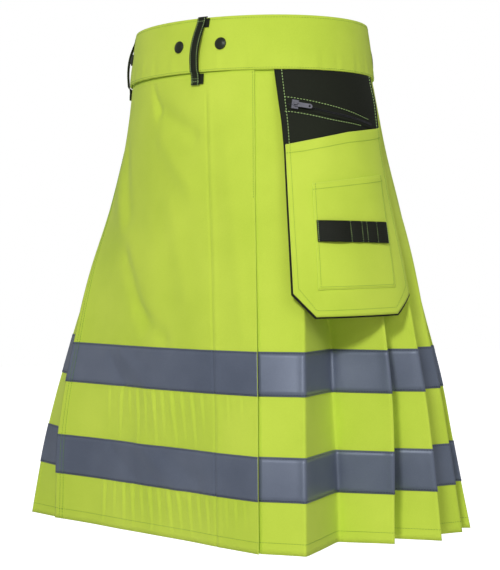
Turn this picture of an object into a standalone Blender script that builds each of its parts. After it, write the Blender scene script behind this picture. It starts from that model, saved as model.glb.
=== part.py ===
"""High-visibility utility kilt, worn form with no wearer. Shape tables are in millimetres."""

import math

import bpy
import numpy as np

MM = 0.001
WAIST_A, WAIST_B = 170.0, 133.5
HULL_A, HULL_B = 283.0, 223.0
BAND_TOP, BAND_LOW, HEM = 32.0, -32.0, -576.0
CLOTH_TOP = BAND_LOW - 0.4
UPPER_ROWS = (CLOTH_TOP, -75.0, -113.0, -165.0, -205.0, -240.0, -275.0, -310.0)
HALF_WALL = 0.5

# Share of the way from the waist's outline to the hem's, by height.
FLARE = (
    # height, sides, front
    (32.0, -0.043, -0.043),
    (0.0, 0.0, 0.0),
    (-38.0, 0.045, 0.047),
    (-113.0, 0.165, 0.22),
    (-188.0, 0.305, 0.41),
    (-263.0, 0.462, 0.61),
    (-320.0, 0.570, 0.75),
    (-363.0, 0.655, 0.83),
    (-413.0, 0.752, 0.905),
    (-488.0, 0.872, 0.975),
    (-576.0, 1.0, 1.0),
)

# Knife pleats of the wearer's left half, front to back. Early is how far the fold runs ahead of the flare.
LEFT_FOLDS = (
    # waist angle, hem x, hem y, valley x, valley y, early
    (72.0, 259.0, -111.0, 204.0, -21.0, 0.0),
    (95.0, 253.0, 25.0, 204.0, 35.0, 0.25),
    (111.0, 266.0, 85.0, 227.0, 94.0, 0.10),
    (126.0, 233.0, 150.0, 196.0, 143.0, 0.05),
    (141.0, 214.0, 181.0, 168.0, 171.0, 0.0),
    (156.5, 150.0, 222.0, 118.0, 198.0, 0.0),
    (172.0, 72.0, 242.0, 48.0, 206.0, 0.0),
)
RIGHT_FOLDS = (
    (78.0, 224.0, -190.0, 196.0, -104.0, 0.06),
    (97.0, 262.0, -28.0, 216.0, -16.0, 0.0),
    (114.0, 272.0, 50.0, 228.0, 56.0, 0.0),
    (129.0, 250.0, 118.0, 208.0, 120.0, 0.0),
    (144.0, 210.0, 178.0, 170.0, 168.0, 0.0),
    (158.0, 146.0, 222.0, 116.0, 198.0, 0.0),
    (173.0, 70.0, 242.0, 46.0, 206.0, 0.0),
)
CENTRE_BACK_Y = 226.0
FOLD_TURN = 9.0

APRON_ANGLES = (-64.0, 49.0)
APRON_HEM = (
    # share across, x, y
    (0.0, -158.0, -189.0),
    (0.22, -71.0, -175.0),
    (0.46, 17.0, -166.0),
    (0.67, 95.0, -155.0),
    (0.82, 149.0, -150.0),
    (1.0, 213.0, -143.0),
)
LEFT_START, RIGHT_START, UNDER_END = 0.95, 0.05, 0.903

# Heights of the two rows of tape, top and bottom, sewn a little higher on the right panel.
TAPES = (
    ("upper", -355.0, -404.5),
    ("lower", -470.5, -519.5),
)
RIGHT_RAISE = 8.5

BAND_START, BAND_END, BAND_TUCK = -66.0, 398.0, (283.0, 292.5)
SNAP_ANGLES = (("a", 34.0), ("b", 13.0), ("c", -35.0), ("d", -56.0))
LOOP_ANGLES = (("front_left", 22.7), ("front_right", -47.0), ("back_left", 150.0), ("back", 180.0), ("back_right", 210.0))
LOOP_LINE = (
    # out, height
    (-1.0, 33.1),
    (1.5, 33.1),
    (2.7, 31.0),
    (2.7, 26.0),
    (5.2, 18.0),
    (7.6, 6.0),
    (7.6, -10.0),
    (5.6, -24.0),
    (2.9, -36.0),
    (2.2, -47.0),
)

# Hip pockets: edges as waist angles, by height.
RIGHT_POCKET_SHIFT = 10.0
BACKING_EDGES = (
    # height, front angle, back angle
    (-32.0, 57.8, 119.0),
    (-95.0, 60.2, 114.5),
    (-125.0, 60.7, 112.5),
    (-320.0, 60.7, 110.5),
)
FRONT_EDGES = (
    (-95.0, 61.4, 113.5),
    (-125.0, 61.4, 111.7),
    (-320.0, 61.4, 109.7),
)
BACKING_BOTTOM = (
    # share across, height
    (0.0, -291.5),
    (0.14, -318.0),
    (0.80, -315.5),
    (1.0, -292.5),
)
FRONT_TOP = ((0.0, -120.5), (0.55, -104.0), (1.0, -95.5))
FRONT_BOTTOM = ((0.0, -290.0), (0.14, -316.0), (0.80, -313.5), (1.0, -291.0))
PATCH_ANGLES = ((-150.0, 71.0, 106.0), (-290.0, 69.3, 101.0))
PATCH_TOP, PATCH_BOTTOM = ((0.0, -165.0), (1.0, -152.0)), ((0.0, -285.5), (1.0, -283.0))
TOOL_STITCHES = (0.02, 0.40, 0.55, 0.62, 0.77, 0.95)
TOOL_BULGES = (3.3, 1.6, 1.0, 1.8, 2.2)
TOOL_TOP, TOOL_BOTTOM = -207.0, -231.5
ZIP_LINE = (
    # angle, height
    (63.0, -73.3),
    (72.0, -77.0),
    (82.0, -82.0),
    (94.0, -87.0),
    (106.0, -93.0),
)
ZIP_HALF, SLIDER_ANGLE = 3.0, 66.0

FINISHES = (
    # start of the piece's name, red, green, blue, roughness, metallic
    ("tape_", 0.12, 0.145, 0.20, 0.45, 0.2),
    ("belt_loop_", 0.013, 0.017, 0.007, 0.75, 0.0),
    ("pocket_backing_", 0.012, 0.016, 0.006, 0.75, 0.0),
    ("tool_loops_", 0.012, 0.015, 0.008, 0.65, 0.0),
    ("zip_slider_", 0.40, 0.40, 0.44, 0.3, 1.0),
    ("zip_pull_", 0.40, 0.40, 0.44, 0.3, 1.0),
    ("zip_", 0.02, 0.02, 0.026, 0.4, 0.0),
    ("snap_", 0.035, 0.042, 0.028, 0.35, 0.4),
    ("", 0.66, 0.86, 0.08, 0.82, 0.0),
)


def read(table, at, out, key=0):
    xs = [row[key] for row in table]
    ys = [row[out] for row in table]
    if xs[0] > xs[-1]:
        xs, ys = xs[::-1], ys[::-1]
    return float(np.interp(at, xs, ys))


def unit(v):
    v = np.asarray(v, float)
    return v / max(float(np.linalg.norm(v)), 1e-9)


def ease(value, low, high):
    t = min(max((value - low) / (high - low), 0.0), 1.0)
    return t * t * (3 - 2 * t)


def oval(angle, a, b):
    t = math.radians(angle)
    return np.array((a * math.sin(t), -b * math.cos(t)))


def outward(angle, z):
    g = read(FLARE, z, 1)
    p = oval(angle, 1 / (WAIST_A + g * (HULL_A - WAIST_A)), 1 / (WAIST_B + g * (HULL_B - WAIST_B)))
    return unit(p)


def ring(angle, z, out=0.0):
    """Point on the smooth form round the body, at a waist angle from the front and a height."""
    g = read(FLARE, z, 1)
    p = oval(angle, WAIST_A + g * (HULL_A - WAIST_A), WAIST_B + g * (HULL_B - WAIST_B))
    p = p + outward(angle, z) * out
    return np.array((p[0], p[1], z))


def front(share, z, out=0.0):
    """Point on the front apron, share 0 at its free edge and 1 at its stitched edge."""
    angle = APRON_ANGLES[0] + share * (APRON_ANGLES[1] - APRON_ANGLES[0])
    top = oval(angle, WAIST_A, WAIST_B)
    low = np.array((read(APRON_HEM, share, 1), read(APRON_HEM, share, 2)))
    g = (1 - share) * read(FLARE, z, 2) + share * read(FLARE, z, 1)
    normal = (1 - g) * unit(oval(angle, 1 / WAIST_A, 1 / WAIST_B)) + g * np.array((0.05, -1.0))
    p = top + g * (low - top) + unit(normal) * out
    return np.array((p[0], p[1], z))


def under_gap(z):
    """How far the cloth under the apron lies inside it; wider where the tape has to fit between."""
    return 1.9 + 1.8 * ease(-z, 200, 340)


def pleat_row(side, z):
    """Plan path of one pleated panel at a height, from the front to the centre back."""
    table = LEFT_FOLDS if side > 0 else RIGHT_FOLDS
    g = read(FLARE, z, 1)
    opened = ease(-z, 165, 350)
    size = 0.78 + 0.22 * ease(-z, 350, 576)
    pitch = 1.6 + 1.4 * ease(-z, 200, 340)
    inner = 1.6 + 2.9 * ease(-z, 200, 340)
    deep = under_gap(z)
    flip = np.array((side, 1.0))
    shares = (LEFT_START, 1.0) if side > 0 else (RIGHT_START, 0.0)
    starts = [front(share, z, -0.3 - deep)[:2] * flip for share in shares]
    start_low = front(shares[1], HEM)[:2] * flip
    marks = [table[0][0] - 12] + [row[0] for row in table] + [180.0]
    low_x = [start_low[0]] + [row[1] for row in table] + [0.0]
    low_y = [start_low[1]] + [row[2] for row in table] + [CENTRE_BACK_Y]

    def closed(angle, depth):
        top = oval(angle, WAIST_A, WAIST_B)
        low = np.array((np.interp(angle, marks, low_x), np.interp(angle, marks, low_y)))
        return top + g * (low - top) - outward(angle, z) * (deep + depth)

    def fold(row):
        top = oval(row[0], WAIST_A, WAIST_B)
        run = g + row[5] * 4 * g * (1 - g) * ease(-z, 150, 330)
        p = top + run * (np.array(row[1:3]) - top) - outward(row[0], z) * deep
        reach = np.array(row[3:5]) - np.array(row[1:3])
        shut = closed(row[0] - FOLD_TURN, pitch + inner / 2)
        free = p + size * reach
        return p - outward(row[0], z) * pitch / 2, shut + opened * (free - shut), free

    folds = [fold(row) for row in table]
    path = [(starts[0], 0.0), (starts[1], 0.0)]

    def add(angle, depth, free, gap=0.0):
        shut = closed(angle, depth)
        path.append((shut + opened * (free - shut), gap))

    before = starts[1]
    for i, row in enumerate(table):
        edge, valley, free = folds[i]
        if i:
            add(table[i - 1][0] - FOLD_TURN / 2, pitch + inner, before + 0.12 * (edge - before))
            add(table[i - 1][0] + 2.0, pitch + inner, before + 0.3 * (edge - before))
        add(row[0] - FOLD_TURN - 2.5, 0.0, before + 0.7 * (edge - before))
        add(row[0] - FOLD_TURN / 2, 0.0, before + 0.86 * (edge - before))
        path.append((edge, pitch))
        add(row[0] - FOLD_TURN / 2, pitch, (edge + free) / 2)
        path.append((valley, inner))
        before = free
    end = np.array((0.3, closed(180.0, pitch + inner)[1] - 22 * opened * g))
    add(table[-1][0] - FOLD_TURN / 2, pitch + inner, before + 0.15 * (end - before))
    add(table[-1][0] + 2.0, pitch + inner, before + 0.4 * (end - before))
    path.append((end, 0.0))

    first = path[2][0]
    path[2:2] = [(starts[1] + k * (first - starts[1]), 0.0) for k in (0.12, 0.4)]
    row_points = []
    for i, (p, gap) in enumerate(path):
        if not gap:
            row_points.append(p)
            continue
        ahead = unit(p - path[i - 1][0]) + unit(path[i + 1][0] - p)
        inward = -unit(np.array((p[0] / WAIST_A**2, p[1] / WAIST_B**2)))
        across = unit(ahead + 0.25 * inward)
        row_points.append(p - across * gap / 2)
        row_points.append(p + across * gap / 2)
    return [np.array((side * p[0], p[1], z)) for p in row_points]


def moved(row, out):
    """A row of points moved sideways in plan with mitred corners, to the right of its direction."""
    result = []
    for i, p in enumerate(row):
        steps = [row[k + 1][:2] - row[k][:2] for k in (i - 1, i) if 0 <= k < len(row) - 1]
        sides = [unit((s[1], -s[0])) for s in steps]
        mitre = unit(sum(sides))
        reach = out / max(float(mitre @ sides[0]), 0.35)
        result.append(np.array((p[0] + mitre[0] * reach, p[1] + mitre[1] * reach, p[2])))
    return result


def collection(name):
    group = bpy.data.collections.get(name)
    if group is None:
        group = bpy.data.collections.new(name)
        bpy.context.scene.collection.children.link(group)
    return group


def finish_for(name):
    """The finish of a piece, found by how its name starts."""
    row = next(row for row in FINISHES if name.startswith(row[0]))
    label = (row[0] or "hi_vis_cloth").strip("_")
    finish = bpy.data.materials.get(label)
    if finish is None:
        finish = bpy.data.materials.new(label)
        finish.use_nodes = True
        shader = finish.node_tree.nodes["Principled BSDF"]
        shader.inputs["Base Color"].default_value = (*row[1:4], 1.0)
        shader.inputs["Roughness"].default_value = row[4]
        shader.inputs["Metallic"].default_value = row[5]
    return finish


def add_mesh(name, points, faces, smooth=True):
    points = np.asarray(points, float)
    tris = [(f[0], f[k], f[k + 1]) for f in faces for k in range(1, len(f) - 1)]
    corners = points[np.array(tris)]
    if np.linalg.det(corners).sum() < 0:
        tris = [(f[0], f[2], f[1]) for f in tris]
        faces = [f[::-1] for f in faces]
    shapes = tris if smooth else faces
    mesh = bpy.data.meshes.new(name)
    mesh.from_pydata((points * MM).tolist(), [], [list(map(int, f)) for f in shapes])
    mesh.update()
    for polygon in mesh.polygons:
        polygon.use_smooth = smooth
    mesh.materials.append(finish_for(name))
    obj = bpy.data.objects.new(name, mesh)
    collection("utility_kilt").objects.link(obj)
    return obj


def sheet(name, rows, low, high, turned=False):
    """A wall of cloth on rows of points, from low to high on the right of each row.

    Turned splits the squares on their other diagonal, for a row that runs the other way from its neighbour's.
    """
    tall, wide = len(rows), len(rows[0])
    points = [p for row in rows for p in moved(row, low)] + [p for row in rows for p in moved(row, high)]
    back = tall * wide

    def at(r, c, layer):
        return layer * back + r * wide + c

    faces = []
    for r in range(tall - 1):
        for c in range(wide - 1):
            quad = (at(r, c, 1), at(r, c + 1, 1), at(r + 1, c + 1, 1), at(r + 1, c, 1))
            if turned:
                quad = quad[1:] + quad[:1]
            faces.append(quad)
            faces.append(tuple(quad[k] - back for k in (0, 3, 2, 1)))
    border = [(0, c) for c in range(wide)]
    border += [(r, wide - 1) for r in range(1, tall)]
    border += [(tall - 1, c) for c in range(wide - 2, -1, -1)]
    border += [(r, 0) for r in range(tall - 2, 0, -1)]
    for (r, c), (s, d) in zip(border, border[1:] + border[:1]):
        faces.append((at(s, d, 1), at(r, c, 1), at(r, c, 0), at(s, d, 0)))
    return add_mesh(name, points, faces)


def tube_profile(line, half):
    """Closed outline round a line of (out, height) points."""
    flat = [np.array((u, v, 0.0)) for u, v in line]
    return [p[:2] for p in moved(flat, half)] + [p[:2] for p in moved(flat, -half)[::-1]]


def extruded(name, origin, along, up, across, outline, half):
    """An outline in the along and up directions, run from -half to half across."""
    points = [origin + along * u + up * v + across * w for w in (-half, half) for u, v in outline]
    n = len(outline)
    faces = [tuple(range(n)), tuple(range(2 * n - 1, n - 1, -1))]
    faces += [(k, n + k, n + (k + 1) % n, (k + 1) % n) for k in range(n)]
    return add_mesh(name, points, faces, smooth=False)


def merged(keeper, other, operation="UNION"):
    step = keeper.modifiers.new(other.name, "BOOLEAN")
    step.operation = operation
    step.solver = "EXACT"
    step.object = other
    collection("utility_kilt").objects.unlink(other)
    collection("cutters").objects.link(other)
    other.display_type = "WIRE"
    other.hide_render = True
    other.hide_viewport = True


def panel(name, line, side=1):
    """A panel of cloth from a plan line at each height, and the two tapes that lie on it."""
    raised = RIGHT_RAISE if side < 0 else 0.0
    heights = [z + raised for tape in TAPES for z in tape[1:]]
    rows = [line(z) for z in (*UPPER_ROWS, *heights, HEM)]
    sheet(name, rows, -HALF_WALL, HALF_WALL, side < 0)
    return heights


def tape(name, line, heights, side=1):
    for k, (tag, _, _) in enumerate(TAPES):
        rows = [line(z) for z in heights[2 * k : 2 * k + 2]]
        sheet(f"{name}_{tag}", rows, *((0.8, 1.8) if side > 0 else (-1.8, -0.8)), side < 0)


def panels():
    shares = np.linspace(0.0, 1.0, 21)

    def apron(z):
        return [front(s, z, -0.3) for s in shares]

    def under(z):
        across = np.linspace(RIGHT_START + 0.002, UNDER_END, 15)
        return [front(s, z, -0.3 - under_gap(z)) for s in across]

    tape("tape_apron", apron, panel("outer_apron", apron))
    panel("under_apron", under)
    for side, tag in ((1, "left"), (-1, "right")):

        def line(z, side=side):
            return pleat_row(side, z)

        tape(f"tape_{tag}", line, panel(f"pleats_{tag}", line, side), side)


def waistband():
    angles = np.linspace(BAND_START, BAND_END, 88)
    rows = []
    for z in (BAND_TOP, BAND_LOW):
        rows.append([ring(a, z, -3.1 * ease(a, *BAND_TUCK)) for a in angles])
    sheet("waistband", rows, -1.25, 1.25)


def snaps():
    rings = ((7.2, 0.0), (7.2, 0.9), (6.2, 2.0), (3.6, 2.7))
    for tag, angle in SNAP_ANGLES:
        centre = ring(angle, 0.0, 1.6)
        n2 = outward(angle, 0.0)
        out = unit((n2[0], n2[1], 0.17))
        side = unit(np.cross((0, 0, 1.0), out))
        up = np.cross(out, side)
        count = 18
        points = []
        for radius, height in rings:
            for k in range(count):
                t = 2 * math.pi * k / count
                points.append(centre + out * height + radius * (side * math.cos(t) + up * math.sin(t)))
        points.append(centre + out * 2.9)
        faces = [tuple(range(count))[::-1]]
        for r in range(len(rings) - 1):
            for k in range(count):
                j = (k + 1) % count
                faces.append((r * count + k, r * count + j, (r + 1) * count + j, (r + 1) * count + k))
        last = (len(rings) - 1) * count
        faces += [(last + k, last + (k + 1) % count, len(points) - 1) for k in range(count)]
        add_mesh(f"snap_{tag}", points, faces)


def belt_loops():
    for tag, angle in LOOP_ANGLES:
        base = ring(angle, 0.0)
        n2 = outward(angle, 0.0)
        out = np.array((n2[0], n2[1], 0.0))
        line = []
        for reach, z in LOOP_LINE:
            here = ring(angle, z)
            if z < BAND_LOW and abs(angle) < 60:
                here = front((angle - APRON_ANGLES[0]) / (APRON_ANGLES[1] - APRON_ANGLES[0]), z)
            line.append((float((here - base) @ out) + reach, z))
        outline = tube_profile(line, 0.6)
        across = np.array((-out[1], out[0], 0.0))
        up = np.array((0.0, 0.0, 1.0))
        extruded(f"belt_loop_{tag}", np.array((base[0], base[1], 0.0)), out, up, across, outline, 6.0)


def pocket_point(side, angle, z, out):
    shift = 0.0 if side > 0 else RIGHT_POCKET_SHIFT
    hang = 3.0 + 14.0 * read(FLARE, z, 1) - 2.7 * (1 - ease(-z, 33, 70))
    p = ring(angle + shift, z, hang + out)
    return np.array((side * p[0], p[1], p[2]))


def pocket_sheet(name, side, edges, top, bottom, shares, steps, low, high, bulge=None):
    rows = []
    for t in np.linspace(0.0, 1.0, steps):
        row = []
        for s in shares:
            z = read(top, s, 1) + t * (read(bottom, s, 1) - read(top, s, 1))
            angle = read(edges, z, 1) + s * (read(edges, z, 2) - read(edges, z, 1))
            row.append(pocket_point(side, angle, z, bulge(s) if bulge else 0.0))
        rows.append(row)
    if side < 0:
        low, high = -high, -low
    return sheet(name, rows, low, high)


def tool_bulge(share):
    for (a, b), height in zip(zip(TOOL_STITCHES, TOOL_STITCHES[1:]), TOOL_BULGES):
        if a < share < b:
            return height * math.sin(math.pi * (share - a) / (b - a)) ** 0.7
    return 0.0


def zip_frame(side, angle):
    """Origin on the backing's outer face, and the along, out and across directions of the zip."""
    here = pocket_point(side, angle, read(ZIP_LINE, angle, 1), HALF_WALL)
    after = pocket_point(side, angle + 4, read(ZIP_LINE, angle + 4, 1), HALF_WALL)
    above = pocket_point(side, angle, read(ZIP_LINE, angle, 1) + 6, HALF_WALL)
    along = unit(after - here)
    out = unit(np.cross(after - here, above - here)) * side
    across = np.cross(out, along)
    return here, along, out, across


def pockets():
    for side, tag in ((1, "left"), (-1, "right")):
        corners = (0.0, 0.14, 0.80, 1.0)
        shares = sorted(set(corners) | set(np.linspace(0.0, 1.0, 11).round(2)))
        top = ((0.0, -32.3), (1.0, -32.3))
        pocket_sheet(f"pocket_backing_{tag}", side, BACKING_EDGES, top, BACKING_BOTTOM, shares, 9, -0.5, 0.5)
        pocket_sheet(f"pocket_front_{tag}", side, FRONT_EDGES, FRONT_TOP, FRONT_BOTTOM, shares, 7, 0.9, 1.9)
        shares = np.linspace(0.0, 1.0, 9)
        pocket_sheet(f"patch_pocket_{tag}", side, PATCH_ANGLES, PATCH_TOP, PATCH_BOTTOM, shares, 6, 2.3, 3.3)
        shares = set(TOOL_STITCHES)
        for a, b in zip(TOOL_STITCHES, TOOL_STITCHES[1:]):
            shares |= {round(a + (b - a) * k, 4) for k in ((0.12, 0.3, 0.5, 0.7, 0.88) if b - a > 0.1 else (0.5,))}
        band = ((0.0, TOOL_TOP), (1.0, TOOL_TOP - 1.0)), ((0.0, TOOL_BOTTOM), (1.0, TOOL_BOTTOM - 1.0))
        shares = sorted(shares)
        pocket_sheet(f"tool_loops_{tag}", side, PATCH_ANGLES, band[0], band[1], shares, 2, 3.7, 4.7, tool_bulge)
        rows = []
        for step in (ZIP_HALF, -ZIP_HALF):
            angles = np.linspace(ZIP_LINE[0][0], ZIP_LINE[-1][0], 15)
            rows.append([pocket_point(side, a, read(ZIP_LINE, a, 1) + step, 0.0) for a in angles])
        sheet(f"zip_{tag}", rows, *((0.8, 2.3) if side > 0 else (-2.3, -0.8)))
        zip_slider(side, tag)


def zip_slider(side, tag):
    here, along, out, across = zip_frame(side, SLIDER_ANGLE)
    body = ((-4.2, 2.2), (4.2, 2.2), (4.2, 3.3), (3.7, 3.8), (-3.7, 3.8), (-4.2, 3.3))
    slider = extruded(f"zip_slider_{tag}", here, along, out, across, body, 5.2)
    arch = ((-2.2, 3.6), (-1.2, 3.6), (-1.2, 5.8), (1.2, 5.8), (1.2, 3.6), (2.2, 3.6), (2.2, 6.5), (1.9, 6.8))
    arch += ((-1.9, 6.8), (-2.2, 6.5))
    bridge = extruded(f"bridge_{tag}", here, along, out, across, arch, 1.0)
    merged(slider, bridge)
    plate = ((-0.7, -2.7), (17.5, -2.7), (19.4, -1.6), (20.0, 0.0), (19.4, 1.6), (17.5, 2.7), (-0.7, 2.7))
    axis = here + out * 4.8
    tab = extruded(f"zip_pull_{tag}", axis, along, across, out, plate, 0.6)
    window = ((0.7, -1.35), (3.7, -1.35), (3.7, 1.35), (0.7, 1.35))
    merged(tab, extruded(f"window_{tag}", axis, along, across, out, window, 2.0), "DIFFERENCE")
    eye = [(16.6 + 1.3 * math.cos(k * math.pi / 6), 1.3 * math.sin(k * math.pi / 6)) for k in range(12)]
    merged(tab, extruded(f"eye_{tag}", axis, along, across, out, eye, 2.0), "DIFFERENCE")


def main():
    for obj in list(bpy.data.objects):
        bpy.data.objects.remove(obj, do_unlink=True)
    waistband()
    panels()
    snaps()
    belt_loops()
    pockets()


main()
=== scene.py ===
"""Looks of the high-visibility utility kilt: cloth, tape, pockets, stitching, zips and snaps."""

import math

import bpy
import numpy as np
from mathutils import Matrix, Vector


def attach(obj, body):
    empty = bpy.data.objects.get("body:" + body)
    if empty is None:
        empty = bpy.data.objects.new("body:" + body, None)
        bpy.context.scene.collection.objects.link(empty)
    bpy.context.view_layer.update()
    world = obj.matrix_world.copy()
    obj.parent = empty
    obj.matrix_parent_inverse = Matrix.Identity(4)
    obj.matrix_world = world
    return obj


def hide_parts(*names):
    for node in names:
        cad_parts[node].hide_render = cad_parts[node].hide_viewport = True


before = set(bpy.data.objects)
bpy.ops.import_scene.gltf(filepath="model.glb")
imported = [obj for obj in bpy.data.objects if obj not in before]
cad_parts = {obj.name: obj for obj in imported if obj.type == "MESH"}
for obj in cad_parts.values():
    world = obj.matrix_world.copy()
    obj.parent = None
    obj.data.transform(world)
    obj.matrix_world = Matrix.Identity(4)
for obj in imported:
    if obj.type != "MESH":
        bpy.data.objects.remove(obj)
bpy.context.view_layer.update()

MM = 0.001
WAIST_A, WAIST_B = 170.0, 133.5
HULL_A, HULL_B = 283.0, 223.0
BAND_TOP, BAND_LOW, HEM = 32.0, -32.0, -576.0
CLOTH_TOP = BAND_LOW - 0.4

# Share of the way from the waist's outline to the hem's, by height.
FLARE = (
    # height, sides, front
    (32.0, -0.043, -0.043),
    (0.0, 0.0, 0.0),
    (-38.0, 0.045, 0.047),
    (-113.0, 0.165, 0.22),
    (-188.0, 0.305, 0.41),
    (-263.0, 0.462, 0.61),
    (-320.0, 0.570, 0.75),
    (-363.0, 0.655, 0.83),
    (-413.0, 0.752, 0.905),
    (-488.0, 0.872, 0.975),
    (-576.0, 1.0, 1.0),
)
LEFT_FOLDS = (
    # waist angle, hem x, hem y, valley x, valley y, early
    (72.0, 259.0, -111.0, 204.0, -21.0, 0.0),
    (95.0, 253.0, 25.0, 204.0, 35.0, 0.25),
    (111.0, 266.0, 85.0, 227.0, 94.0, 0.10),
    (126.0, 233.0, 150.0, 196.0, 143.0, 0.05),
    (141.0, 214.0, 181.0, 168.0, 171.0, 0.0),
    (156.5, 150.0, 222.0, 118.0, 198.0, 0.0),
    (172.0, 72.0, 242.0, 48.0, 206.0, 0.0),
)
RIGHT_FOLDS = (
    (78.0, 224.0, -190.0, 196.0, -104.0, 0.06),
    (97.0, 262.0, -28.0, 216.0, -16.0, 0.0),
    (114.0, 272.0, 50.0, 228.0, 56.0, 0.0),
    (129.0, 250.0, 118.0, 208.0, 120.0, 0.0),
    (144.0, 210.0, 178.0, 170.0, 168.0, 0.0),
    (158.0, 146.0, 222.0, 116.0, 198.0, 0.0),
    (173.0, 70.0, 242.0, 46.0, 206.0, 0.0),
)
CENTRE_BACK_Y, FOLD_TURN = 226.0, 9.0
APRON_ANGLES = (-64.0, 49.0)
APRON_HEM = (
    # share across, x, y
    (0.0, -158.0, -189.0),
    (0.22, -71.0, -175.0),
    (0.46, 17.0, -166.0),
    (0.67, 95.0, -155.0),
    (0.82, 149.0, -150.0),
    (1.0, 213.0, -143.0),
)
LEFT_START, RIGHT_START, UNDER_END = 0.95, 0.05, 0.903
TAPES = (("upper", -355.0, -404.5), ("lower", -470.5, -519.5))
RIGHT_RAISE = 8.5
BAND_START, BAND_END, BAND_TUCK = -66.0, 398.0, (283.0, 292.5)
SNAP_ANGLES = (("a", 34.0), ("b", 13.0), ("c", -35.0), ("d", -56.0))
LOOP_ANGLES = (
    # name, angle, lean of its top to the wearer's left
    ("front_left", 22.7, 5.0),
    ("front_right", -47.0, -3.0),
    ("back_left", 150.0, 0.0),
    ("back", 180.0, 0.0),
    ("back_right", 210.0, 0.0),
)
LOOP_LINE = (
    # out, height
    (-1.0, 33.1),
    (1.5, 33.1),
    (2.7, 31.0),
    (2.7, 26.0),
    (5.2, 18.0),
    (7.6, 6.0),
    (7.6, -10.0),
    (5.6, -24.0),
    (2.9, -36.0),
    (2.2, -47.0),
)
RIGHT_POCKET_SHIFT = 10.0
BACKING_EDGES = (
    # height, front angle, back angle
    (-32.0, 57.8, 119.0),
    (-95.0, 60.2, 114.5),
    (-125.0, 60.7, 112.5),
    (-320.0, 60.7, 110.5),
)
FRONT_EDGES = ((-95.0, 61.4, 113.5), (-125.0, 61.4, 111.7), (-320.0, 61.4, 109.7))
BACKING_BOTTOM = ((0.0, -291.5), (0.14, -318.0), (0.80, -315.5), (1.0, -292.5))
FRONT_TOP = ((0.0, -120.5), (0.55, -104.0), (1.0, -95.5))
FRONT_BOTTOM = ((0.0, -290.0), (0.14, -316.0), (0.80, -313.5), (1.0, -291.0))
PATCH_ANGLES = ((-150.0, 71.0, 106.0), (-290.0, 69.3, 101.0))
PATCH_TOP, PATCH_BOTTOM = ((0.0, -165.0), (1.0, -152.0)), ((0.0, -285.5), (1.0, -283.0))
TOOL_STITCHES = (0.02, 0.40, 0.55, 0.62, 0.77, 0.95)
TOOL_BULGES = (3.3, 1.6, 1.0, 1.8, 2.2)
TOOL_TOP, TOOL_BOTTOM = -207.0, -231.5
ZIP_LINE = ((63.0, -73.3), (72.0, -77.0), (82.0, -82.0), (94.0, -87.0), (106.0, -93.0))
ZIP_HALF, SLIDER_ANGLE = 3.0, 66.0

# Soft folds of the front apron, as valleys (minus) and ridges (plus) between two points.
APRON_FOLDS = (
    # across 1, height 1, across 2, height 2, depth, width
    (300.0, -60.0, 302.0, -576.0, -0.55, 1.6),
    (306.0, -60.0, 308.0, -576.0, 0.35, 5.0),
    (210.0, -70.0, 275.0, -105.0, -1.6, 11.0),
    (215.0, -110.0, 265.0, -165.0, 1.1, 14.0),
    (195.0, -45.0, 205.0, -75.0, -1.5, 6.0),
    (120.0, -250.0, 170.0, -330.0, -1.7, 13.0),
    (150.0, -310.0, 210.0, -345.0, -1.5, 10.0),
    (60.0, -150.0, 140.0, -240.0, 1.6, 22.0),
    (90.0, -120.0, 120.0, -200.0, -1.6, 14.0),
    (230.0, -190.0, 250.0, -290.0, 0.9, 18.0),
    (120.0, -365.0, 175.0, -400.0, 1.1, 10.0),
    (90.0, -372.0, 125.0, -402.0, -0.9, 7.0),
    (160.0, -470.0, 230.0, -515.0, 1.2, 13.0),
    (205.0, -480.0, 265.0, -505.0, -1.0, 11.0),
    (100.0, -480.0, 150.0, -512.0, -0.9, 9.0),
    (330.0, -120.0, 352.0, -330.0, 0.7, 16.0),
)
# Short puckers that hang below each row of tape.
PUCKERS = (
    # across, top, length, lean, depth
    (92.0, -405.0, 45.0, 2.0, 0.6),
    (118.0, -405.0, 60.0, -2.0, 0.9),
    (134.0, -405.0, 40.0, 3.0, 0.8),
    (152.0, -405.0, 62.0, 5.0, 1.2),
    (170.0, -405.0, 52.0, 2.0, 0.8),
    (188.0, -405.0, 60.0, 5.0, 1.3),
    (205.0, -405.0, 48.0, 3.0, 0.9),
    (222.0, -405.0, 62.0, 7.0, 1.3),
    (240.0, -405.0, 54.0, 5.0, 1.0),
    (258.0, -405.0, 60.0, 6.0, 1.2),
    (277.0, -405.0, 45.0, 3.0, 0.8),
    (322.0, -405.0, 35.0, 2.0, 0.5),
    (345.0, -405.0, 30.0, 2.0, 0.4),
    (88.0, -520.0, 52.0, 0.0, 1.0),
    (108.0, -520.0, 40.0, 2.0, 0.7),
    (126.0, -520.0, 50.0, 4.0, 1.1),
    (143.0, -520.0, 50.0, 5.0, 1.3),
    (160.0, -520.0, 42.0, 5.0, 1.0),
    (177.0, -520.0, 50.0, 6.0, 1.3),
    (194.0, -520.0, 44.0, 4.0, 1.1),
    (212.0, -520.0, 52.0, 7.0, 1.4),
    (230.0, -520.0, 46.0, 6.0, 1.2),
    (249.0, -520.0, 48.0, 6.0, 1.2),
    (266.0, -520.0, 40.0, 5.0, 1.0),
    (283.0, -520.0, 44.0, 4.0, 0.9),
    (318.0, -520.0, 34.0, 2.0, 0.6),
    (334.0, -520.0, 30.0, 2.0, 0.6),
    (350.0, -520.0, 30.0, 1.0, 0.5),
)
APRON_WIDE = 375.0
CLOTH_HALF = 0.25


def read(table, at, out, key=0):
    xs = [row[key] for row in table]
    ys = [row[out] for row in table]
    if xs[0] > xs[-1]:
        xs, ys = xs[::-1], ys[::-1]
    return float(np.interp(at, xs, ys))


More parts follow.
